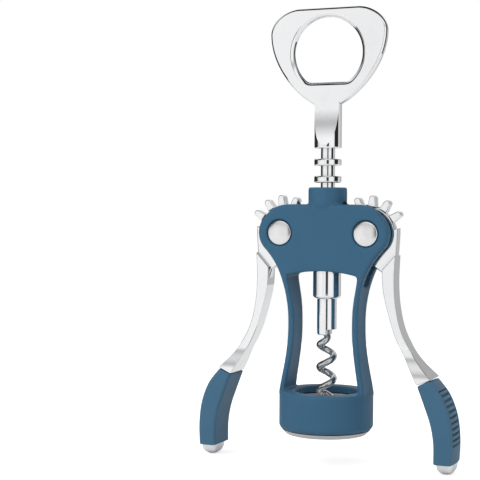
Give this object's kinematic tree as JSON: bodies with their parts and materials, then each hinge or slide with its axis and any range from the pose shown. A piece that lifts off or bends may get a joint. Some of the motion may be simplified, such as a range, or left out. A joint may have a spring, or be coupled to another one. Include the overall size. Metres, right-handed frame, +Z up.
{
  "type": "lever corkscrew",
  "caption": "Lever corkscrew with two geared side levers, a turning rack and worm, a bell that sits on the bottle, and a bottle opener handle.",
  "frame": {"origin": "centre of the bell's underside, where it sits over the bottle's neck, on the axis of the worm", "axes": "+Z up along the worm and rack, +X towards the right lever's pivot, -Y is the front"},
  "size_m": [0.1146, 0.04, 0.1933],
  "materials": {
    "blue_coat": "soft matt coating over cast metal",
    "blue_grip": "soft matt moulded grip",
    "chrome": "polished plating over cast metal",
    "steel": "plain steel",
    "grey_plastic": "satin moulded plastic"
  },
  "bodies": {
    "frame": {"frame_casting": "blue_coat", "bell_insert": "grey_plastic", "pivot_pin_right": "chrome", "pivot_cap_right": "chrome", "pivot_pin_left": "chrome", "pivot_cap_left": "chrome", "washer_right_front": "steel", "washer_right_back": "steel", "washer_left_front": "steel", "washer_left_back": "steel"},
    "slider": {"stop_sleeve": "chrome"},
    "spindle": {"opener_handle": "chrome", "rack_spindle": "chrome", "handle_pin": "steel", "worm_holder": "chrome", "holder_pin": "steel", "worm_pin": "steel", "snap_ring": "steel", "worm": "steel"},
    "right_lever": {"lever_right": "chrome", "grip_right": "blue_grip"},
    "left_lever": {"lever_left": "chrome", "grip_left": "blue_grip"}
  },
  "joints": [
    {"name": "rack_slide", "type": "slide", "parent": "frame", "child": "slider", "axis": [0, 0, 1], "range_m": [-0.03, 0]},
    {"name": "spindle_turn", "type": "hinge", "parent": "slider", "child": "spindle", "pos_m": [0, 0, 0.0642], "axis": [0, 0, 1], "continuous": true},
    {"name": "right_lever_pivot", "type": "hinge", "parent": "frame", "child": "right_lever", "pos_m": [0.0192, 0, 0.0852], "axis": [0, -1, 0], "range_deg": [0, 109]},
    {"name": "left_lever_pivot", "type": "hinge", "parent": "frame", "child": "left_lever", "pos_m": [-0.0192, 0, 0.0852], "axis": [0, 1, 0], "range_deg": [0, 109]}
  ],
  "couplings": [
    {"joint": "right_lever_pivot", "follows": "rack_slide", "rad_per_m": -62.893},
    {"joint": "left_lever_pivot", "follows": "rack_slide", "rad_per_m": -62.893}
  ]
}
